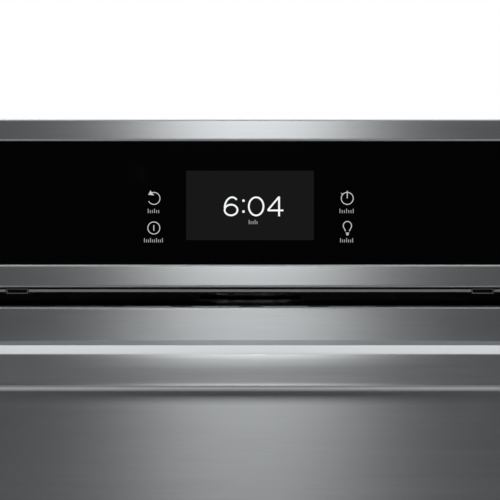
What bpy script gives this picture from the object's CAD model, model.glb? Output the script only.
import math

import bpy
import bmesh
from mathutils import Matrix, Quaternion, Vector


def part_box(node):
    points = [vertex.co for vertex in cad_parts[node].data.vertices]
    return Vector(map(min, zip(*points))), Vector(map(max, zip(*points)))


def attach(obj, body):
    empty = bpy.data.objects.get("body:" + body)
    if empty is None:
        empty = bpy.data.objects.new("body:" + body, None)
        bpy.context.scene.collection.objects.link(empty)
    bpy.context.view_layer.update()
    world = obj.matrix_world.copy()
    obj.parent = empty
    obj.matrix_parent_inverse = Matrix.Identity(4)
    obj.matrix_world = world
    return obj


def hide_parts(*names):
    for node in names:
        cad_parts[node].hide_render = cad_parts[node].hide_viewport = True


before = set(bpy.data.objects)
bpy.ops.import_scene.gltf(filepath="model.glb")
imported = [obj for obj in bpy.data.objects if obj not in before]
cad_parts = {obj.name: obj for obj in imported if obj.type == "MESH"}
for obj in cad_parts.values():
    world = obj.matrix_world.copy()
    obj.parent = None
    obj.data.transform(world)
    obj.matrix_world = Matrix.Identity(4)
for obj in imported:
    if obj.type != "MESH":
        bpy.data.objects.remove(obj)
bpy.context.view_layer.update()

# ---- Casing of zinc-coated sheet -----------------------------------------------------------------
# The base pan, side panels, rear panel and top cover are 1.2 mm hot-dip galvanised sheet, folded and
# screwed into a box. The air duct, the blower's housing, the wiring box, the flue and the frame that
# holds the panes apart are the same sheet. Its zinc froze in grey flakes, dulled by handling.
MM = 0.001


def add(tree, kind, settings=None, **values):
    """A shader node; a value is a number, a colour or the socket that feeds it."""
    made = tree.nodes.new("ShaderNode" + kind)
    for key, value in (settings or {}).items():
        setattr(made, key, value)
    for key, value in values.items():
        socket = made.inputs[key.replace("_", " ")]
        if isinstance(value, bpy.types.NodeSocket):
            tree.links.new(value, socket)
        else:
            socket.default_value = value
    return made


def calc(tree, operation, *terms):
    """One step of arithmetic on numbers or sockets."""
    made = tree.nodes.new("ShaderNodeMath")
    made.operation = operation
    for socket, term in zip(made.inputs, terms):
        if isinstance(term, bpy.types.NodeSocket):
            tree.links.new(term, socket)
        else:
            socket.default_value = term
    return made.outputs[0]


def span(tree, value, low, high, to_low=0.0, to_high=1.0):
    """Maps a range onto another, held at its ends."""
    made = add(tree, "MapRange", None, Value=value, From_Min=low, From_Max=high,
               To_Min=to_low, To_Max=to_high)
    return made.outputs[0]


def mix(tree, share, first, second):
    """A colour between two colours; inputs 6 and 7 are the node's two colour ones."""
    made = tree.nodes.new("ShaderNodeMix")
    made.data_type = "RGBA"
    for index, value in ((0, share), (6, first), (7, second)):
        if isinstance(value, bpy.types.NodeSocket):
            tree.links.new(value, made.inputs[index])
        else:
            made.inputs[index].default_value = value
    return made.outputs[2]


def shade(value, tint=(1.0, 1.0, 1.0)):
    """A grey of one value, with a tint over it."""
    return (value * tint[0], value * tint[1], value * tint[2], 1.0)


def effect(name, takes, gives):
    """A shared shader node group with named inputs and outputs."""
    tree = bpy.data.node_groups.new(name, "ShaderNodeTree")
    for label, value in takes.items():
        kind = "NodeSocketFloat" if isinstance(value, float) else "NodeSocketColor"
        tree.interface.new_socket(label, in_out="INPUT", socket_type=kind).default_value = value
    for label, kind in gives.items():
        tree.interface.new_socket(label, in_out="OUTPUT", socket_type="NodeSocket" + kind)
    return tree, tree.nodes.new("NodeGroupInput").outputs, tree.nodes.new("NodeGroupOutput").inputs


def use(tree, group, **values):
    """Places a shared effect in a material and returns its outputs."""
    made = tree.nodes.new("ShaderNodeGroup")
    made.node_tree = group
    for key, value in values.items():
        made.inputs[key.replace("_", " ")].default_value = value
    return made.outputs


def own_place(tree, stretch=(1.0, 1.0, 1.0)):
    """The piece's own coordinates in metres, stretched along each axis."""
    place = tree.nodes.new("ShaderNodeTexCoord").outputs["Object"]
    return add(tree, "Mapping", None, Vector=place, Scale=stretch).outputs[0]


def finish(name, **plain):
    """A new material with plain values on its shader's own sockets."""
    made = bpy.data.materials.new(name)
    made.use_nodes = True
    shader = made.node_tree.nodes["Principled BSDF"]
    for key, value in plain.items():
        shader.inputs[key.replace("_", " ")].default_value = value
    return made, made.node_tree, shader


def feed(tree, shader, **sockets):
    """Links sockets to the shader's inputs by name."""
    for key, socket in sockets.items():
        tree.links.new(socket, shader.inputs[key.replace("_", " ")])


def coat(material, *names):
    """Gives CAD nodes a material in place of the plain one."""
    for name in names:
        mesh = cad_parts[name].data
        mesh.materials.clear()
        mesh.materials.append(material)


def make_smudges():
    """Soft cloudy patches, as left by hands, dust and handling."""
    tree, takes, gives = effect("smudges", {"Size": 0.06, "Share": 0.5}, {"Mask": "Float"})
    rarest = 0.75
    widening = 0.4
    full = 0.8
    place = own_place(tree)
    scale = calc(tree, "DIVIDE", 1.0, takes["Size"])
    cloud = add(tree, "TexNoise", None, Vector=place, Scale=scale, Detail=5.0, Roughness=0.6, Distortion=0.4)
    low = calc(tree, "SUBTRACT", rarest, calc(tree, "MULTIPLY", takes["Share"], widening))
    tree.links.new(span(tree, cloud.outputs[0], low, full), gives["Mask"])
    return tree


def make_edge_rub():
    """How near a folded or cut edge a point is, broken up by grain, for worn edges."""
    tree, takes, gives = effect("edge_rub", {"Width": 0.0008, "Grain": 400.0}, {"Mask": "Float"})
    untouched = 0.99
    rubbed_through = 0.85
    rounded = add(tree, "Bevel", {"samples": 4}, Radius=takes["Width"])
    flat = tree.nodes.new("ShaderNodeNewGeometry").outputs["Normal"]
    turned = add(tree, "VectorMath", {"operation": "DOT_PRODUCT"})
    tree.links.new(rounded.outputs[0], turned.inputs[0])
    tree.links.new(flat, turned.inputs[1])
    edge = span(tree, turned.outputs["Value"], untouched, rubbed_through)
    grain = add(tree, "TexNoise", None, Vector=own_place(tree), Scale=takes["Grain"], Detail=3.0)
    worn = calc(tree, "MULTIPLY", edge, span(tree, grain.outputs[0], 0.4, 0.65))
    tree.links.new(worn, gives["Mask"])
    return tree


def make_grain():
    """Fine even roughness of a moulded, cast or sprayed surface."""
    tree, takes, gives = effect("grain", {"Pitch": 0.001, "Depth": 0.00002},
                                {"Value": "Float", "Normal": "Vector"})
    scale = calc(tree, "DIVIDE", 1.0, takes["Pitch"])
    fine = add(tree, "TexNoise", None, Vector=own_place(tree), Scale=scale, Detail=3.0, Roughness=0.55)
    relief = add(tree, "Bump", None, Height=fine.outputs[0], Distance=takes["Depth"], Strength=1.0)
    tree.links.new(fine.outputs[0], gives["Value"])
    tree.links.new(relief.outputs[0], gives["Normal"])
    return tree


smudges = make_smudges()
edge_rub = make_edge_rub()
grain = make_grain()


def galvanised_sheet():
    """Zinc in flakes with ragged borders, each flake a little lighter or duller than the next."""
    flake = 0.011
    ragged = 0.008
    dark_flake = shade(0.46, (0.97, 1.0, 1.02))
    pale_flake = shade(0.56, (0.98, 1.0, 1.02))
    dulled = shade(0.34)
    rubbed = shade(0.68)
    made, tree, shader = finish("galvanised_sheet", Metallic=0.85)
    warp = add(tree, "TexNoise", None, Vector=own_place(tree), Scale=60.0, Detail=2.0)
    bent = add(tree, "VectorMath", {"operation": "MULTIPLY_ADD"})
    tree.links.new(warp.outputs["Color"], bent.inputs[0])
    bent.inputs[1].default_value = (ragged, ragged, ragged)
    tree.links.new(own_place(tree), bent.inputs[2])
    cells = add(tree, "TexVoronoi", None, Vector=bent.outputs[0], Scale=1 / flake)
    tone = add(tree, "SeparateColor", None, Color=cells.outputs["Color"]).outputs[0]
    patches = use(tree, smudges, Size=0.12, Share=0.7)["Mask"]
    colour = mix(tree, tone, dark_flake, pale_flake)
    colour = mix(tree, calc(tree, "MULTIPLY", patches, 0.5), colour, dulled)
    colour = mix(tree, use(tree, edge_rub, Width=1.2 * MM)["Mask"], colour, rubbed)
    rough = calc(tree, "ADD", span(tree, tone, 0.0, 1.0, 0.36, 0.46), calc(tree, "MULTIPLY", patches, 0.12))
    feed(tree, shader, Base_Color=colour, Roughness=rough,
         Normal=use(tree, grain, Pitch=0.003, Depth=2e-5)["Normal"])
    return made


zinc_sheet = galvanised_sheet()
coat(zinc_sheet, "base_pan", "left_side_panel", "right_side_panel", "rear_panel", "top_cover", "junction_box",
     "cooling_duct", "blower_housing", "cavity_vent_tube", "window_frame")

# ---- Front frame and flanges ---------------------------------------------------------------------
# The plate round the mouth of the cavity and the two side flanges are the same sheet, sprayed satin
# black and baked. The flanges lap over the cabinet and take its four screws.


def black_paint():
    """Satin black with a slight orange peel, greyer where hands have been."""
    clean = shade(0.016)
    handled = shade(0.026, (1.0, 0.99, 0.97))
    rubbed = shade(0.16)
    made, tree, shader = finish("black_paint", Metallic=0.0, Specular_IOR_Level=0.3)
    peel = use(tree, grain, Pitch=0.0016, Depth=1.5e-5)
    hands = use(tree, smudges, Size=0.09, Share=0.6)["Mask"]
    colour = mix(tree, hands, clean, handled)
    colour = mix(tree, use(tree, edge_rub, Width=0.7 * MM)["Mask"], colour, rubbed)
    feed(tree, shader, Base_Color=colour, Roughness=span(tree, hands, 0.0, 1.0, 0.5, 0.62),
         Normal=peel["Normal"])
    return made


coat(black_paint(), "front_frame", "left_flange", "right_flange")

# ---- Porcelain enamel ----------------------------------------------------------------------------
# The cavity's liner, the cover over its fan and the door's inner panel are pressed from steel sheet
# and fired with a black porcelain ground coat, full of fine blue-grey and white specks, glossy and
# slightly wavy like poured glass.


def make_specks():
    """Round specks scattered at random, one layer of one size."""
    tree, takes, gives = effect("specks", {"Pitch": 0.004, "Radius": 0.0005, "Share": 0.5}, {"Mask": "Float"})
    scale = calc(tree, "DIVIDE", 1.0, takes["Pitch"])
    cells = add(tree, "TexVoronoi", None, Vector=own_place(tree), Scale=scale)
    lot = add(tree, "SeparateColor", None, Color=cells.outputs["Color"])
    radius = calc(tree, "MULTIPLY", calc(tree, "DIVIDE", takes["Radius"], takes["Pitch"]), lot.outputs[1])
    inside = calc(tree, "LESS_THAN", cells.outputs["Distance"], radius)
    chosen = calc(tree, "LESS_THAN", lot.outputs[0], takes["Share"])
    tree.links.new(calc(tree, "MULTIPLY", inside, chosen), gives["Mask"])
    return tree


specks = make_specks()


def enamel():
    """Black glass coat with two sizes of speck under its gloss, and a thin film of grease."""
    clean = (0.010, 0.012, 0.018, 1)
    filmed = (0.018, 0.018, 0.020, 1)
    blue_speck = (0.07, 0.10, 0.17, 1)
    pale_speck = (0.34, 0.36, 0.38, 1)
    made, tree, shader = finish("porcelain_enamel", Coat_Weight=0.5, Coat_Roughness=0.06, IOR=1.52)
    blue = use(tree, specks, Pitch=0.0026, Radius=0.0006, Share=0.55)["Mask"]
    pale = use(tree, specks, Pitch=0.0048, Radius=0.0006, Share=0.3)["Mask"]
    wave = use(tree, grain, Pitch=0.012, Depth=6e-5)
    film = use(tree, smudges, Size=0.10, Share=0.4)["Mask"]
    ground = mix(tree, film, clean, filmed)
    ground = mix(tree, blue, ground, blue_speck)
    ground = mix(tree, pale, ground, pale_speck)
    rough = calc(tree, "ADD", 0.12, calc(tree, "MULTIPLY", film, 0.16))
    feed(tree, shader, Base_Color=ground, Roughness=rough, Normal=wave["Normal"])
    return made


coat(enamel(), "cavity_liner", "fan_baffle", "door_inner_panel")

# ---- Racks and ladders ---------------------------------------------------------------------------
# The two racks and the ladders on the cavity's side walls are drawn steel wire, welded at every
# crossing and nickel-chrome plated. Heat has tinted the plate faintly straw in places.


def chrome_wire():
    """Bright plate with fine drawing marks, and straw-coloured patches."""
    bright = shade(0.66, (1.0, 1.0, 1.01))
    straw = shade(0.56, (1.06, 1.0, 0.88))
    made, tree, shader = finish("chrome_wire", Metallic=1.0)
    heat = use(tree, smudges, Size=0.15, Share=0.6)["Mask"]
    draw = use(tree, grain, Pitch=0.0018, Depth=6e-6)
    feed(tree, shader, Base_Color=mix(tree, heat, bright, straw),
         Roughness=span(tree, heat, 0.0, 1.0, 0.13, 0.26), Normal=draw["Normal"])
    return made


coat(chrome_wire(), "left_rack_ladder", "right_rack_ladder", "upper_rack", "lower_rack")

# ---- Heating elements ----------------------------------------------------------------------------
# Tubular elements for broiling, baking and the fan: resistance wire packed in magnesia inside a
# nickel-alloy sheath, bent to shape, which turns a mottled brown-black after its first firing.


def oxidised_sheath():
    """Matte oxide in small dark and brown patches."""
    dark = (0.030, 0.026, 0.024, 1)
    brown = (0.095, 0.085, 0.078, 1)
    made, tree, shader = finish("oxidised_sheath", Metallic=0.35)
    scale = use(tree, smudges, Size=0.025, Share=0.9)["Mask"]
    skin = use(tree, grain, Pitch=0.0011, Depth=4e-5)
    feed(tree, shader, Base_Color=mix(tree, scale, dark, brown),
         Roughness=span(tree, scale, 0.0, 1.0, 0.62, 0.8), Normal=skin["Normal"])
    return made


coat(oxidised_sheath(), "broil_element", "bake_element", "convection_element")

# ---- Plated hardware -----------------------------------------------------------------------------
# Hinge pockets, arms, channels, pins and springs, the latch hook, both fan wheels, the lamp's can,
# the temperature probe and the screws: steel parts, barrel-plated in bright zinc, with tool marks.


def zinc_plate():
    """Bright plate, stained in small patches and rubbed clean along its edges."""
    bright = (0.58, 0.58, 0.57, 1)
    stained = (0.46, 0.45, 0.42, 1)
    rubbed = shade(0.72)
    made, tree, shader = finish("zinc_plate", Metallic=1.0)
    stain = use(tree, smudges, Size=0.03, Share=0.7)["Mask"]
    skin = use(tree, grain, Pitch=0.0009, Depth=8e-6)
    colour = mix(tree, stain, bright, stained)
    colour = mix(tree, use(tree, edge_rub, Width=0.5 * MM)["Mask"], colour, rubbed)
    feed(tree, shader, Base_Color=colour, Roughness=span(tree, stain, 0.0, 1.0, 0.28, 0.45),
         Normal=skin["Normal"])
    return made


hardware = zinc_plate()
coat(hardware, "hinge_receivers", "hinge_arms", "hinge_channels", "hinge_pins", "latch_hook", "cover_screws",
     "hinge_springs", "convection_fan", "blower_wheel", "lamp_housing", "temperature_probe")

# ---- Motors --------------------------------------------------------------------------------------
# The fan motors and the latch motor have wound steel cores in housings sprayed with black enamel
# paint, with a rougher, cast-looking skin than the panels.


def motor_paint():
    """Rough black paint under a thin grey dust."""
    painted = shade(0.022)
    dusty = shade(0.05, (1.0, 0.98, 0.95))
    rubbed = shade(0.2)
    made, tree, shader = finish("motor_paint", Metallic=0.1)
    dust = use(tree, smudges, Size=0.04, Share=0.7)["Mask"]
    skin = use(tree, grain, Pitch=0.0014, Depth=5e-5)
    colour = mix(tree, dust, painted, dusty)
    colour = mix(tree, use(tree, edge_rub, Width=0.8 * MM)["Mask"], colour, rubbed)
    feed(tree, shader, Base_Color=colour, Roughness=span(tree, dust, 0.0, 1.0, 0.48, 0.7),
         Normal=skin["Normal"])
    return made


coat(motor_paint(), "convection_motor", "blower_motor", "latch_motor")

# ---- Insulation ----------------------------------------------------------------------------------
# Blankets of needled glass wool wrap the cavity and fill the door, yellow-buff, matted in layers and
# combed in one direction by the needling.


def glass_wool():
    """Fine fibres laid along X, with pale tufts standing up between them."""
    combed = (220.0, 900.0, 900.0)
    deep_wool = (0.40, 0.31, 0.13, 1)
    lit_wool = (0.82, 0.74, 0.48, 1)
    pale_tuft = (0.86, 0.82, 0.66, 1)
    made, tree, shader = finish("glass_wool", Roughness=0.95, Specular_IOR_Level=0.2, Sheen_Weight=0.2)
    fibre = add(tree, "TexNoise", None, Vector=own_place(tree, combed), Scale=1.0, Detail=6.0,
                Roughness=0.75, Distortion=1.2)
    tuft = add(tree, "TexNoise", None, Vector=own_place(tree), Scale=70.0, Detail=4.0)
    height = calc(tree, "ADD", fibre.outputs[0], calc(tree, "MULTIPLY", tuft.outputs[0], 1.6))
    relief = add(tree, "Bump", None, Height=height, Distance=0.0025, Strength=0.8)
    colour = mix(tree, span(tree, fibre.outputs[0], 0.3, 0.7), deep_wool, lit_wool)
    colour = mix(tree, span(tree, tuft.outputs[0], 0.4, 0.75, 0.0, 0.5), colour, pale_tuft)
    feed(tree, shader, Base_Color=colour, Normal=relief.outputs[0])
    return made


coat(glass_wool(), "insulation", "door_insulation")

# ---- Circuit boards and wiring -------------------------------------------------------------------
# The touch board, the control board and the relay board are glass-epoxy under green resist, with
# tinned pads and copper runs just visible through it. The loom is bound in black tape.


def green_board(name, top, axis):
    """Resist up to the board's own face at top, along axis; dark moulded parts beyond it."""
    runs_in_a_metre = 260.0
    resist_green = (0.012, 0.085, 0.035, 1)
    copper_green = (0.03, 0.15, 0.06, 1)
    tinned = (0.55, 0.55, 0.5, 1)
    upright = math.pi / 2 if axis == "Y" else 0.0
    made, tree, shader = finish(name, Roughness=0.4)
    own = tree.nodes.new("ShaderNodeTexCoord").outputs["Object"]
    flat = add(tree, "Mapping", None, Vector=own, Rotation=(upright, 0.0, 0.0), Scale=[runs_in_a_metre] * 3)
    runs = add(tree, "TexBrick", {"offset": 0.37, "squash": 2.3, "squash_frequency": 3},
               Vector=flat.outputs[0], Scale=1.0, Mortar_Size=0.06)
    pads = use(tree, specks, Pitch=0.0042, Radius=0.0016, Share=0.5)["Mask"]
    resist = mix(tree, runs.outputs["Fac"], resist_green, copper_green)
    resist = mix(tree, pads, resist, tinned)
    beyond = calc(tree, "GREATER_THAN", add(tree, "SeparateXYZ", None, Vector=own).outputs[axis], top)
    moulded = mix(tree, use(tree, smudges, Size=0.02, Share=0.9)["Mask"], shade(0.02), shade(0.06))
    colour = mix(tree, beyond, resist, moulded)
    feed(tree, shader, Base_Color=colour, Normal=use(tree, grain, Pitch=0.002, Depth=3e-5)["Normal"])
    return made


board_t = 1.7 * MM
parts_h = 7.4 * MM
pillar_h = 14.0 * MM
touch_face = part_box("touch_board")[0].y + board_t
control_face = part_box("control_board")[1].y - parts_h
relay_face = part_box("power_board")[0].z + pillar_h + board_t
coat(green_board("touch_board_resist", touch_face, "Y"), "touch_board")
coat(green_board("control_board_resist", control_face, "Y"), "control_board")
coat(green_board("relay_board_resist", relay_face, "Z"), "power_board")


def loom_tape():
    """Black tape wound at a slant, its laps standing a little proud."""
    made, tree, shader = finish("loom_tape", Specular_IOR_Level=0.3)
    turns = add(tree, "TexWave", {"wave_type": "BANDS", "bands_direction": "DIAGONAL"},
                Vector=own_place(tree), Scale=42.0, Distortion=0.6, Detail=2.0)
    relief = add(tree, "Bump", None, Height=turns.outputs["Fac"], Distance=2e-4, Strength=0.7)
    colour = mix(tree, turns.outputs["Fac"], shade(0.012), shade(0.035))
    feed(tree, shader, Base_Color=colour, Roughness=span(tree, turns.outputs["Fac"], 0.0, 1.0, 0.5, 0.7),
         Normal=relief.outputs[0])
    return made


coat(loom_tape(), "wiring_harness")

# ---- Moulded plastic -----------------------------------------------------------------------------
# The door switch has a black glass-filled body and a white nylon plunger; the display's housing is
# black too. All are injection moulded, with a fine spark-eroded texture.


def moulded_plastic(name, value, rough, pitch):
    """Even plastic with a fine texture, lighter and duller where it is rubbed."""
    rubbed = shade(value * 1.25 + 0.004)
    made, tree, shader = finish(name, Specular_IOR_Level=0.4)
    skin = use(tree, grain, Pitch=pitch, Depth=2e-5)
    rub = use(tree, smudges, Size=0.02, Share=0.6)["Mask"]
    feed(tree, shader, Base_Color=mix(tree, rub, shade(value), rubbed),
         Roughness=span(tree, rub, 0.0, 1.0, rough, rough + 0.12), Normal=skin["Normal"])
    return made


coat(moulded_plastic("black_moulding", 0.014, 0.45, 0.0007), "door_switch_body", "display_module")
coat(moulded_plastic("white_nylon", 0.68, 0.38, 0.0009), "switch_plunger")

# ---- Cavity lamp ---------------------------------------------------------------------------------
# A small halogen capsule in a steel can, behind a pressed borosilicate lens that is slightly wavy.


def clear_pane(name, tint, rough, wave):
    """Glass of one tint, a little darker and duller where it is greasy."""
    made, tree, shader = finish(name, Transmission_Weight=1.0, IOR=1.47, Metallic=0.0)
    film = use(tree, smudges, Size=0.07, Share=0.5)["Mask"]
    greasy = tuple(0.96 * c for c in tint[:3]) + (1,)
    feed(tree, shader, Base_Color=mix(tree, film, tint, greasy),
         Roughness=span(tree, film, 0.0, 1.0, rough, rough + 0.015),
         Normal=use(tree, grain, Pitch=0.02, Depth=wave)["Normal"])
    return made


coat(clear_pane("lamp_glass", (0.94, 0.97, 0.95, 1), 0.03, 8e-5), "lamp_lens")
coat(clear_pane("bulb_glass", (0.98, 0.95, 0.85, 1), 0.25, 2e-5), "lamp_bulb")

# ---- Door seal -----------------------------------------------------------------------------------
# A hollow rope of braided glass yarn runs round the mouth of the cavity, clipped into its flange.
# The door presses it flat; the braid's strands cross in two directions and show as small lozenges.


def seal_path(half_x, low_z, high_z, corner, step):
    """Points round a rounded rectangle in X and Z, a step apart, with their outward directions."""
    centre = (low_z + high_z) / 2
    half_z = (high_z - low_z) / 2
    legs = [((half_x, -half_z + corner), (half_x, half_z - corner), 0.0),
            ((half_x - corner, half_z), (-half_x + corner, half_z), 90.0),
            ((-half_x, half_z - corner), (-half_x, -half_z + corner), 180.0),
            ((-half_x + corner, -half_z), (half_x - corner, -half_z), 270.0)]
    points = []
    for start, end, heading in legs:
        length = math.dist(start, end)
        count = round(length / step)
        out = math.radians(heading)
        for k in range(count):
            x = start[0] + (end[0] - start[0]) * k / count
            z = start[1] + (end[1] - start[1]) * k / count
            points.append((x, centre + z, out))
        bend = math.radians(90)
        pivot = (end[0] - corner * math.cos(out), end[1] - corner * math.sin(out))
        count = round(corner * bend / step)
        for k in range(count):
            a = out + bend * k / count
            points.append((pivot[0] + corner * math.cos(a), centre + pivot[1] + corner * math.sin(a), a))
    return points


def braided_seal():
    """A rope of oval section whose surface rises where a strand passes over another."""
    low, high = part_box("door_gasket")
    rope_w = 9.0 * MM
    rope_d = high.y - low.y
    outer_corner = 27.0 * MM
    strands = 6
    lay = 14.0 * MM
    sides = 20
    step = 2.0 * MM
    lift = 0.09
    inset = rope_w / 2
    middle = (low.y + high.y) / 2
    points = seal_path(high.x - inset, low.z + inset, high.z - inset, outer_corner - inset, step)
    rope = bmesh.new()
    rings = []
    turns = round(len(points) * step / lay)
    for k, (x, z, out) in enumerate(points):
        along = 2 * math.pi * turns * k / len(points)
        ring = []
        for j in range(sides):
            a = 2 * math.pi * j / sides
            weave = max(math.cos(strands * a / 2 + along) ** 2, math.cos(strands * a / 2 - along) ** 2)
            grow = 1 - lift + lift * weave
            side = rope_w / 2 * math.cos(a) * grow
            deep = rope_d / 2 * math.sin(a) * grow
            ring.append(rope.verts.new((x + side * math.cos(out), middle + deep, z + side * math.sin(out))))
        rings.append(ring)
    for k, ring in enumerate(rings):
        after = rings[(k + 1) % len(rings)]
        for j in range(sides):
            rope.faces.new((ring[j], ring[(j + 1) % sides], after[(j + 1) % sides], after[j]))
    bmesh.ops.recalc_face_normals(rope, faces=rope.faces)
    mesh = bpy.data.meshes.new("braided_seal")
    rope.to_mesh(mesh)
    rope.free()
    mesh.polygons.foreach_set("use_smooth", [True] * len(mesh.polygons))
    made, tree, shader = finish("glass_yarn", Roughness=0.85, Sheen_Weight=0.3, Specular_IOR_Level=0.3)
    yarn = add(tree, "TexNoise", None, Vector=own_place(tree), Scale=1800.0, Detail=4.0)
    relief = add(tree, "Bump", None, Height=yarn.outputs[0], Distance=3e-4, Strength=0.6)
    soot = use(tree, smudges, Size=0.05, Share=0.6)["Mask"]
    colour = mix(tree, yarn.outputs[0], shade(0.07), shade(0.22, (1.0, 0.99, 0.96)))
    feed(tree, shader, Base_Color=mix(tree, soot, colour, shade(0.05)), Normal=relief.outputs[0])
    mesh.materials.append(made)
    seal = bpy.data.objects.new("braided_seal", mesh)
    bpy.context.scene.collection.objects.link(seal)
    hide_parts("door_gasket")
    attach(seal, "chassis")


braided_seal()

# ---- Vent trim -----------------------------------------------------------------------------------
# A slotted shelf of thin steel closes the gap over the door, sprayed in grey metallic paint, and two
# sprung clips in a darker grey hold it.


def vent_paint(name, value):
    """Metallic paint of one value, with a fine sparkle and a little dust."""
    made, tree, shader = finish(name, Metallic=0.6)
    dust = use(tree, smudges, Size=0.05, Share=0.7)["Mask"]
    flake = use(tree, grain, Pitch=0.0006, Depth=1e-5)
    colour = mix(tree, dust, shade(value), shade(value * 1.12, (1.0, 0.99, 0.98)))
    colour = mix(tree, use(tree, edge_rub, Width=0.4 * MM)["Mask"], colour, shade(value * 1.3))
    feed(tree, shader, Base_Color=colour, Roughness=span(tree, flake["Value"], 0.3, 0.7, 0.42, 0.55),
         Normal=flake["Normal"])
    return made


coat(vent_paint("vent_paint", 0.46), "vent_trim")
coat(vent_paint("clip_paint", 0.20), "vent_clips")

# ---- Brushed stainless steel ---------------------------------------------------------------------
# The panel's two strips, the door's skin and the strip under it are 430 stainless sheet, belt-brushed
# along their length before folding. The scratches are long and horizontal, so a light smears up and
# down across them and stays narrow from side to side.


def make_brush_lines():
    """Long scratches along X of three widths, and the relief that they make."""
    tree, takes, gives = effect("brush_lines", {"Width": 0.0004, "Depth": 2e-6},
                                {"Lines": "Float", "Normal": "Vector"})
    scale = calc(tree, "DIVIDE", 1.0, takes["Width"])
    layers = []
    for share, coarse, length in ((0.45, 1.0, 0.012), (0.35, 0.34, 0.006), (0.20, 0.07, 0.05)):
        place = own_place(tree, (length, 1.0, 1.0))
        layer = add(tree, "TexNoise", None, Vector=place, Scale=calc(tree, "MULTIPLY", scale, coarse),
                    Detail=2.0, Roughness=0.6)
        layers.append(calc(tree, "MULTIPLY", layer.outputs[0], share))
    lines = calc(tree, "ADD", calc(tree, "ADD", layers[0], layers[1]), layers[2])
    relief = add(tree, "Bump", None, Height=lines, Distance=takes["Depth"], Strength=1.0)
    tree.links.new(lines, gives["Lines"])
    tree.links.new(relief.outputs[0], gives["Normal"])
    return tree


brush_lines = make_brush_lines()


def brushed_steel(name, bright, rough, line_w, depth):
    """Anisotropic steel; its scratches run along the piece's own X."""
    tint = (0.965, 0.995, 1.015)
    made, tree, shader = finish(name, Metallic=1.0, Anisotropic=0.9, Anisotropic_Rotation=0.25)
    lines = use(tree, brush_lines, Width=line_w, Depth=depth)
    hands = use(tree, smudges, Size=0.05, Share=0.35)["Mask"]
    steel = mix(tree, span(tree, lines["Lines"], 0.35, 0.65), shade(bright * 0.95, tint),
                shade(bright * 1.04, tint))
    level = span(tree, lines["Lines"], 0.35, 0.65, rough * 0.97, rough * 1.03)
    own_to_world = {"vector_type": "VECTOR", "convert_from": "OBJECT", "convert_to": "WORLD"}
    run = add(tree, "VectorTransform", own_to_world, Vector=(1.0, 0.0, 0.0))
    feed(tree, shader, Base_Color=steel, Normal=lines["Normal"], Tangent=run.outputs[0],
         Roughness=calc(tree, "ADD", level, calc(tree, "MULTIPLY", hands, 0.02)))
    return made


skin_steel = brushed_steel("brushed_stainless", 0.62, 0.30, 0.45 * MM, 1.2e-6)
coat(skin_steel, "control_panel_frame", "door_panel", "bottom_trim")


def smooth_rolls(name, angle):
    """Shades a folded piece's rolled edges as round while its flats stay flat."""
    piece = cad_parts[name]
    mesh = piece.data
    if "custom_normal" in mesh.attributes:
        mesh.attributes.remove(mesh.attributes["custom_normal"])
    mesh.polygons.foreach_set("use_smooth", [True] * len(mesh.polygons))
    for attribute in ("sharp_face", "sharp_edge"):
        if attribute in mesh.attributes:
            mesh.attributes.remove(mesh.attributes[attribute])
    joined = piece.modifiers.new("joined", "WELD")
    joined.merge_threshold = 0.005 * MM
    split = piece.modifiers.new("split", "EDGE_SPLIT")
    split.split_angle = math.radians(angle)
    even = piece.modifiers.new("even", "WEIGHTED_NORMAL")
    even.weight = 100
    even.keep_sharp = True


for folded in ("control_panel_frame", "door_panel"):
    smooth_rolls(folded, 32)

# ---- Control glass -------------------------------------------------------------------------------
# Between the strips lies one pane of 4 mm tempered glass, back-painted black, polished and nearly
# without reflection seen straight on. It is bonded to the panel's steel.


def black_glass():
    """Polished and black all through, with a few faint finger marks."""
    clean = (0.0005, 0.0005, 0.0006, 1)
    touched = (0.0010, 0.0010, 0.0012, 1)
    made, tree, shader = finish("black_glass", IOR=1.5, Specular_IOR_Level=0.35)
    film = use(tree, smudges, Size=0.06, Share=0.25)["Mask"]
    feed(tree, shader, Base_Color=mix(tree, film, clean, touched),
         Roughness=span(tree, film, 0.0, 1.0, 0.03, 0.09))
    return made


coat(black_glass(), "control_glass")

# ---- Display and clock ---------------------------------------------------------------------------
# Behind the glass is a liquid-crystal screen with a faint glow that shows as a slightly lighter
# rectangle, with the time in thin, rounded white figures and a small mark under them. All of it is
# drawn here as films on the glass's face; the figures' points are in millimetres.
glass_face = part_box("control_glass")[0].y
display_low, display_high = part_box("display_module")
display_z = (display_low.z + display_high.z) / 2
display_border = 8.0 * MM
display_corner = 0.6 * MM
film_t = 0.02 * MM


def glowing(name, colour, strength):
    """An evenly lit print or figure, with a little grain in its glow."""
    made, tree, shader = finish(name, Roughness=0.3, Specular_IOR_Level=0.0)
    dots = use(tree, grain, Pitch=0.0005, Depth=0.0)["Value"]
    tone = mix(tree, span(tree, dots, 0.3, 0.7), tuple(0.94 * c for c in colour[:3]) + (1,), colour)
    shader.inputs["Emission Strength"].default_value = strength
    feed(tree, shader, Base_Color=mix(tree, dots, shade(0.01), shade(0.014)), Emission_Color=tone)
    return made


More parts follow.
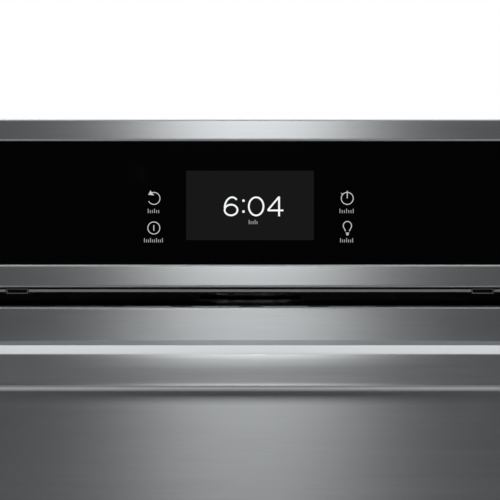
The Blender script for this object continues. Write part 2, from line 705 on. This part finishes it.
def plate(name, x0, x1, z0, z1, y0, thick, radius, material):
    """A thin plate with rounded corners, standing in X and Z."""
    steps = 6
    outline = []
    for cx, cz, start in ((x1 - radius, z0 + radius, -90), (x1 - radius, z1 - radius, 0),
                          (x0 + radius, z1 - radius, 90), (x0 + radius, z0 + radius, 180)):
        for k in range(steps + 1):
            a = math.radians(start + 90 * k / steps)
            outline.append((cx + radius * math.cos(a), cz + radius * math.sin(a)))
    sheet = bmesh.new()
    front = [sheet.verts.new((x, y0, z)) for x, z in outline]
    face = sheet.faces.new(front)
    grown = bmesh.ops.extrude_face_region(sheet, geom=[face])["geom"]
    for v in grown:
        if isinstance(v, bmesh.types.BMVert):
            v.co.y += thick
    bmesh.ops.recalc_face_normals(sheet, faces=sheet.faces)
    mesh = bpy.data.meshes.new(name)
    sheet.to_mesh(mesh)
    sheet.free()
    mesh.materials.append(material)
    made = bpy.data.objects.new(name, mesh)
    bpy.context.scene.collection.objects.link(made)
    return made


def ellipse(cx, cz, rx, rz, start=0.0, end=360.0, steps=40):
    """Points along an ellipse or a part of one, from start to end in degrees."""
    turn = [math.radians(start + (end - start) * k / steps) for k in range(steps + 1)]
    return [(cx + rx * math.cos(a), cz + rz * math.sin(a)) for a in turn]


def strokes(name, lines, width, y, material, proud=0.05 * MM):
    """Lines of one width with round ends, lying on the glass; points are in millimetres."""
    curve = bpy.data.curves.new(name, "CURVE")
    curve.dimensions = "3D"
    curve.bevel_depth = width / 2
    curve.bevel_resolution = 3
    curve.use_fill_caps = True
    for points in lines:
        closed = math.dist(points[0], points[-1]) < 1e-6
        used = points[:-1] if closed else points
        spline = curve.splines.new("POLY")
        spline.points.add(len(used) - 1)
        spline.use_cyclic_u = closed
        for point, (x, z) in zip(spline.points, used):
            point.co = (x * MM, 0.0, z * MM, 1.0)
    drawn = bpy.data.objects.new(name + "_line", curve)
    bpy.context.scene.collection.objects.link(drawn)
    bpy.context.view_layer.update()
    mesh = bpy.data.meshes.new_from_object(drawn.evaluated_get(bpy.context.evaluated_depsgraph_get()))
    bpy.data.objects.remove(drawn)
    for v in mesh.vertices:
        v.co.y = y + v.co.y * proud / width
    mesh.materials.clear()
    mesh.materials.append(material)
    made = bpy.data.objects.new(name, mesh)
    bpy.context.scene.collection.objects.link(made)
    return made


screen_glow = glowing("screen_glow", (0.0036, 0.0037, 0.0040, 1), 1.0)
screen = plate("display_face", display_low.x + display_border, display_high.x - display_border,
               display_low.z + display_border, display_high.z - display_border,
               glass_face - film_t, film_t / 2, display_corner, screen_glow)
figure_white = glowing("figure_white", (0.98, 0.99, 1.0, 1), 1.0)
figure_grey = glowing("figure_grey", (0.42, 0.42, 0.43, 1), 1.0)
figure_y = glass_face - 2 * film_t
figure_w = 1.35 * MM
centre_up = display_z / MM
figures = {
    "clock_six": [ellipse(-14.2, centre_up - 3.4, 4.8, 4.0),
                  ellipse(-13.4, centre_up - 2.3, 5.6, 8.4, 178, 52, 24)],
    "clock_nought": [ellipse(4.6, centre_up - 0.7, 5.5, 6.8)],
    "clock_four": [[(21.8, centre_up - 8.1), (21.8, centre_up + 6.7)],
                   [(21.7, centre_up + 6.4), (13.4, centre_up - 3.5)],
                   [(13.2, centre_up - 3.7), (25.0, centre_up - 3.7)]],
}
for name, lines in figures.items():
    figure = strokes(name, lines, figure_w, figure_y, figure_white)
    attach(figure, "chassis")
colon_x = -4.9 * MM
colon_half = 0.85 * MM
colon_corner = 0.3 * MM
for name, up in (("clock_colon_upper", 3.6), ("clock_colon_lower", -4.6)):
    z = display_z + up * MM
    dot = plate(name, colon_x - colon_half, colon_x + colon_half, z - colon_half, z + colon_half,
                figure_y - film_t, film_t, colon_corner, figure_white)
    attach(dot, "chassis")
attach(screen, "chassis")


def tick_row(name, x, z, width, height, material):
    """A plain row of short strokes that stands where a printed word would."""
    pitch = 1.55
    fewest = 3
    short = 0.68
    stroke_w = 0.5 * MM
    count = max(fewest, round(width / pitch))
    lines = []
    for k in range(count):
        at = x - width / 2 + width * (k + 0.5) / count
        tall = height if k % 3 == 0 else height * short
        lines.append([(at, z - height / 2), (at, z - height / 2 + tall)])
    row = strokes(name, lines, stroke_w, figure_y, material)
    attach(row, "chassis")


mark_h = 3.2
tick_row("clock_mark", 2.3, centre_up - 12.4, 7.4, mark_h, figure_grey)

# ---- Touch keys ----------------------------------------------------------------------------------
# Four touch keys beside the display are marked in pale grey ink: an arrow turning back, a ring with a
# bar, a timer and a lamp, each over a small plain mark. They too are films on the glass's face, and
# their points are in millimetres.
ink = glowing("key_ink", (0.60, 0.60, 0.61, 1), 1.0)
ink_w = 0.62 * MM
key_x = 72.4
upper_z = centre_up + 5.3
lower_z = centre_up - 16.9
ring_r = 4.5
keys = {
    "key_back": [ellipse(-key_x + 0.4, upper_z, ring_r, ring_r, 208, 484)],
    "key_power": [ellipse(-key_x + 0.3, lower_z, ring_r, ring_r),
                  [(-key_x + 0.3, lower_z - 2.1), (-key_x + 0.3, lower_z + 2.1)]],
    "key_timer": [ellipse(key_x + 0.5, upper_z, ring_r, ring_r),
                  [(key_x + 0.5, upper_z), (key_x + 0.5, upper_z + 5.6)],
                  [(key_x - 3.0, upper_z + 3.0), (key_x - 4.0, upper_z + 3.9)]],
    "key_lamp": [ellipse(key_x + 0.6, lower_z + 1.7, 3.1, 3.2, 205, -25, 28)
                 + [(key_x + 2.0, lower_z - 2.4)],
                 [(key_x - 2.1, lower_z + 0.4), (key_x - 0.8, lower_z - 2.4)],
                 [(key_x - 0.6, lower_z - 3.7), (key_x + 1.8, lower_z - 3.7)],
                 [(key_x - 0.4, lower_z - 4.5), (key_x + 1.6, lower_z - 4.5)],
                 [(key_x - 0.1, lower_z - 5.2), (key_x + 1.3, lower_z - 5.2)]],
}
for name, lines in keys.items():
    key = strokes(name, lines, ink_w, figure_y, ink)
    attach(key, "chassis")
arrow = [(-key_x - 3.9, upper_z + 2.7), (-key_x - 2.2, upper_z + 5.9), (-key_x + 0.5, upper_z + 2.3)]
arrow_mesh = bpy.data.meshes.new("key_back_arrow")
arrow_mesh.from_pydata([(x * MM, figure_y, z * MM) for x, z in arrow], [], [(0, 2, 1)])
arrow_mesh.materials.append(ink)
arrow_head = bpy.data.objects.new("key_back_arrow", arrow_mesh)
bpy.context.scene.collection.objects.link(arrow_head)
arrow_body = arrow_head.modifiers.new("film", "SOLIDIFY")
arrow_body.thickness = film_t
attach(arrow_head, "chassis")
upper_mark_z = upper_z - 9.4
lower_mark_z = lower_z - 9.2
tick_row("key_back_mark", -key_x, upper_mark_z, 9.4, mark_h, figure_grey)
tick_row("key_power_mark", -key_x, lower_mark_z, 15.0, mark_h, figure_grey)
tick_row("key_timer_mark", key_x, upper_mark_z, 11.6, mark_h, figure_grey)
tick_row("key_lamp_mark", key_x, lower_mark_z, 10.6, mark_h, figure_grey)

# ---- Handle --------------------------------------------------------------------------------------
# The bar is a drawn section with a sloping top and a gently rounded front, brushed along its length
# like the door, and carried on two feet that are screwed through the door's skin.
handle_steel = brushed_steel("handle_steel", 0.66, 0.29, 0.40 * MM, 0.7e-6)
coat(handle_steel, "handle_bar", "handle_brackets")
smooth_rolls("handle_bar", 14)
smooth_rolls("handle_brackets", 32)

# ---- Window --------------------------------------------------------------------------------------
# Three panes: the outer one tinted dark, the middle and inner ones clear. A black ceramic border is
# printed on the back of the outer pane and breaks up into dots towards the clear part.
coat(clear_pane("tinted_glass", (0.20, 0.21, 0.22, 1), 0.0, 0.0), "door_outer_glass")
coat(clear_pane("clear_glass", (0.93, 0.97, 0.95, 1), 0.0, 0.0), "door_middle_glass", "door_inner_glass")


def printed_border():
    """A thin frame of black print; its inner edge is cut into dots that shrink inwards."""
    low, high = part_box("door_outer_glass")
    margin = 1.0 * MM
    clear_of_glass = 0.05 * MM
    band = 34.0 * MM
    fade = 9.0 * MM
    pitch = 2.2 * MM
    least_dot = 0.12
    full_dot = 0.75
    always_positive = 10.0
    centre = (low.z + high.z) / 2
    edge_x = high.x - margin
    edge_z = (high.z - low.z) / 2 - margin
    y = high.y + clear_of_glass
    ring = bmesh.new()
    loops = []
    for inset in (0.0, band):
        loops.append([ring.verts.new((sx * (edge_x - inset), y, centre + sz * (edge_z - inset)))
                      for sx, sz in ((1, -1), (1, 1), (-1, 1), (-1, -1))])
    faces = []
    for k in range(4):
        faces.append(ring.faces.new((loops[0][k], loops[0][(k + 1) % 4], loops[1][(k + 1) % 4], loops[1][k])))
    grown = bmesh.ops.extrude_face_region(ring, geom=faces)["geom"]
    for v in grown:
        if isinstance(v, bmesh.types.BMVert):
            v.co.y += film_t
    bmesh.ops.recalc_face_normals(ring, faces=ring.faces)
    mesh = bpy.data.meshes.new("window_print")
    ring.to_mesh(mesh)
    ring.free()
    made, tree, shader = finish("ceramic_print", Roughness=0.35)
    place = add(tree, "SeparateXYZ", None, Vector=tree.nodes.new("ShaderNodeTexCoord").outputs["Object"])
    across = calc(tree, "SUBTRACT", edge_x - band, calc(tree, "ABSOLUTE", place.outputs["X"]))
    upward = calc(tree, "ABSOLUTE", calc(tree, "SUBTRACT", place.outputs["Z"], centre))
    upward = calc(tree, "SUBTRACT", edge_z - band, upward)
    inward = calc(tree, "MULTIPLY", calc(tree, "MINIMUM", across, upward), -1.0)
    cells = []
    for axis in ("X", "Z"):
        along = calc(tree, "ADD", place.outputs[axis], always_positive)
        cell = calc(tree, "FRACT", calc(tree, "DIVIDE", along, pitch))
        cells.append(calc(tree, "POWER", calc(tree, "SUBTRACT", cell, 0.5), 2.0))
    away = calc(tree, "SQRT", calc(tree, "ADD", cells[0], cells[1]))
    dots = calc(tree, "LESS_THAN", away, span(tree, inward, 0.0, fade, least_dot, full_dot))
    powder = use(tree, grain, Pitch=0.001, Depth=0.0)["Value"]
    feed(tree, shader, Base_Color=mix(tree, powder, shade(0.004), shade(0.008)), Alpha=dots)
    mesh.materials.append(made)
    border = bpy.data.objects.new("window_print", mesh)
    bpy.context.scene.collection.objects.link(border)
    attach(border, "door")


printed_border()

# ---- Screws of the inner panel and the fan's cover -----------------------------------------------
# Pan-head screws, plated like the other hardware, hold the door's inner panel round its edge and the
# cover over the fan at its corners. As they are set here, each head's dome points into its sheet, and
# its flat side lies flush with the sheet's face.


def screw_head(radius, height, slot):
    """A domed head, face up along Z, with a cross-shaped recess."""
    rings = 6
    sides = 32
    skirt = 0.35
    slot_w = slot * 0.26
    recess_middle = 0.95
    recess_depth = 0.9
    head = bmesh.new()
    profile = [(radius, 0.0), (radius, height * skirt)]
    profile += [(radius * math.cos(a), height * (skirt + (1 - skirt) * math.sin(a)))
                for a in [math.pi / 2 * i / rings for i in range(1, rings)]]
    loops = []
    for r, z in profile:
        loops.append([head.verts.new((r * math.cos(t), r * math.sin(t), z))
                      for t in [2 * math.pi * k / sides for k in range(sides)]])
    for low, high in zip(loops, loops[1:]):
        for k in range(sides):
            head.faces.new((low[k], low[(k + 1) % sides], high[(k + 1) % sides], high[k]))
    head.faces.new(list(reversed(loops[0])))
    head.faces.new(loops[-1])
    dome = bpy.data.meshes.new("screw_head")
    head.to_mesh(dome)
    head.free()
    body = bpy.data.objects.new("screw_blank", dome)
    bpy.context.scene.collection.objects.link(body)
    cutter = bmesh.new()
    for long_x, long_y in ((slot, slot_w), (slot_w, slot)):
        for v in bmesh.ops.create_cube(cutter, size=1.0)["verts"]:
            up = height * (recess_middle + v.co.z * recess_depth)
            v.co = Vector((v.co.x * long_x, v.co.y * long_y, up))
    cross = bpy.data.meshes.new("screw_cross")
    cutter.to_mesh(cross)
    cutter.free()
    tool = bpy.data.objects.new("screw_tool", cross)
    bpy.context.scene.collection.objects.link(tool)
    cut = body.modifiers.new("recess", "BOOLEAN")
    cut.operation = "DIFFERENCE"
    cut.object = tool
    cut.use_self = True
    bpy.context.view_layer.update()
    cut_mesh = bpy.data.meshes.new_from_object(body.evaluated_get(bpy.context.evaluated_depsgraph_get()))
    bpy.data.objects.remove(body)
    bpy.data.objects.remove(tool)
    cut_mesh.materials.clear()
    cut_mesh.materials.append(hardware)
    return cut_mesh


def place_screw(name, mesh, body, at, facing, turn):
    """Sets a screw's head at a face that looks along facing, with its dome turned into the sheet."""
    half_turn = Quaternion((0, 0, 1), math.pi)
    made = bpy.data.objects.new(name, mesh)
    bpy.context.scene.collection.objects.link(made)
    made.location = at
    made.rotation_mode = "QUATERNION"
    made.rotation_quaternion = Vector(facing).to_track_quat("Z", "X")
    made.rotation_quaternion.rotate(half_turn)
    made.rotation_quaternion = made.rotation_quaternion @ Quaternion((0, 0, 1), turn)
    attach(made, body)


panel_low, panel_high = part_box("door_inner_panel")
baffle_low, baffle_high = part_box("fan_baffle")
door_head = screw_head(4.0 * MM, 1.6 * MM, 3.2 * MM)
cover_head = screw_head(3.6 * MM, 1.8 * MM, 2.8 * MM)
side_x = panel_high.x - 30 * MM
outer_x = 0.24
middle_x = 0.10
sides = [(side, share) for side in (-side_x, side_x) for share in (0.22, 0.50, 0.78)]
top_row = [(x, 0.968) for x in (-outer_x, -middle_x, middle_x, outer_x)]
bottom_row = [(x, 0.032) for x in (-outer_x, 0.0, outer_x)]
for k, (x, share) in enumerate(sides + top_row + bottom_row):
    z = panel_low.z + (panel_high.z - panel_low.z) * share
    place_screw(f"inner_panel_screw_{k}", door_head, "door", (x, panel_high.y, z), (0, 1, 0), 0.7 * k)
inset = 16 * MM
for k, (sx, sz) in enumerate(((-1, -1), (1, -1), (1, 1), (-1, 1))):
    x = sx * (baffle_high.x - inset)
    z = (baffle_low.z + baffle_high.z) / 2 + sz * ((baffle_high.z - baffle_low.z) / 2 - inset)
    place_screw(f"fan_cover_screw_{k}", cover_head, "chassis", (x, baffle_low.y, z), (0, -1, 0), 1.1 * k)

# ---- Studio --------------------------------------------------------------------------------------
# A pale plinth that the oven stands on, with its front edge behind the door's swing, on a pale floor.
# The light is soft: a wide panel above and a small one over the camera.


def pale_stage():
    """A plinth with softened edges on a floor; neither shows in the oven's reflections."""
    made, tree, shader = finish("pale_floor", Roughness=0.8)
    mottle = add(tree, "TexNoise", None, Vector=own_place(tree), Scale=6.0, Detail=4.0)
    feed(tree, shader, Base_Color=mix(tree, mottle.outputs[0], shade(0.76), shade(0.82)))
    half_w = 0.55
    front = -0.03
    back = 0.75
    drop = 0.42
    floor_half = 6.0
    floor_t = 0.02
    slabs = {"plinth": ((-half_w, front, -drop), (half_w, back, 0.0)),
             "floor": ((-floor_half, -floor_half, -drop - floor_t), (floor_half, floor_half, -drop))}
    for name, (low, high) in slabs.items():
        slab = bmesh.new()
        for v in bmesh.ops.create_cube(slab, size=1.0)["verts"]:
            v.co = Vector([low[i] + (high[i] - low[i]) * (v.co[i] + 0.5) for i in range(3)])
        mesh = bpy.data.meshes.new(name)
        slab.to_mesh(mesh)
        slab.free()
        mesh.materials.append(made)
        piece = bpy.data.objects.new(name, mesh)
        bpy.context.scene.collection.objects.link(piece)
        if name == "plinth":
            soft = piece.modifiers.new("soft_edge", "BEVEL")
            soft.width = 0.006
            soft.segments = 3
        piece.visible_glossy = False


pale_stage()


def soft_panel(name, at, aim, width, height, power):
    """A rectangular light in metres and watts that the camera doesn't see."""
    lamp = bpy.data.lights.new(name, "AREA")
    lamp.shape = "RECTANGLE"
    lamp.size = width
    lamp.size_y = height
    lamp.energy = power
    made = bpy.data.objects.new(name, lamp)
    bpy.context.scene.collection.objects.link(made)
    made.location = at
    made.rotation_euler = (Vector(aim) - Vector(at)).to_track_quat("-Z", "Y").to_euler()
    made.visible_camera = False


soft_panel("key", (0.0, -2.7, 1.17), (0.0, 0.0, 0.64), 0.45, 0.42, 4.4)
soft_panel("overhead", (0.0, 0.6, 3.2), (0.0, 0.2, 0.4), 3.2, 2.4, 26.0)

# The room that the steel reflects: a ceiling, brighter towards the back, pale walls and a dark front.
world = bpy.data.worlds.new("studio")
world.use_nodes = True
bpy.context.scene.world = world
sky = world.node_tree
sky.nodes.clear()
heading = add(sky, "SeparateXYZ", None, Vector=sky.nodes.new("ShaderNodeTexCoord").outputs["Generated"])
ceiling = span(sky, heading.outputs["Z"], 0.1, 0.8, 0.0, 1.0)
floor_bounce = span(sky, heading.outputs["Z"], -0.24, -0.6, 0.0, 0.2)
walls = span(sky, heading.outputs["Y"], -0.965, -0.45, 0.032, 0.62)
rear = span(sky, heading.outputs["Y"], -0.45, 0.5, 0.25, 1.0)
overhead = calc(sky, "MULTIPLY", ceiling, rear)
level = calc(sky, "MAXIMUM", calc(sky, "MAXIMUM", walls, floor_bounce), overhead)
seen = add(sky, "Background", None, Color=(1, 1, 1, 1), Strength=1.0)
lit = add(sky, "Background", None, Color=(1, 1, 1, 1), Strength=level)
direct = sky.nodes.new("ShaderNodeLightPath").outputs["Is Camera Ray"]
both = sky.nodes.new("ShaderNodeMixShader")
sky.links.new(direct, both.inputs[0])
sky.links.new(lit.outputs[0], both.inputs[1])
sky.links.new(seen.outputs[0], both.inputs[2])
out = sky.nodes.new("ShaderNodeOutputWorld")
sky.links.new(both.outputs[0], out.inputs["Surface"])

camera_back = 1.242
eye_height = 0.6388
camera = bpy.data.objects.new("camera", bpy.data.cameras.new("camera"))
bpy.context.scene.collection.objects.link(camera)
camera.data.sensor_width = 36.0
camera.data.lens = 115.5
camera.location = (0.0, -camera_back, eye_height)
camera.rotation_euler = (math.radians(90), 0.0, 0.0)
bpy.context.scene.camera = camera
bpy.context.scene.view_settings.view_transform = "Standard"
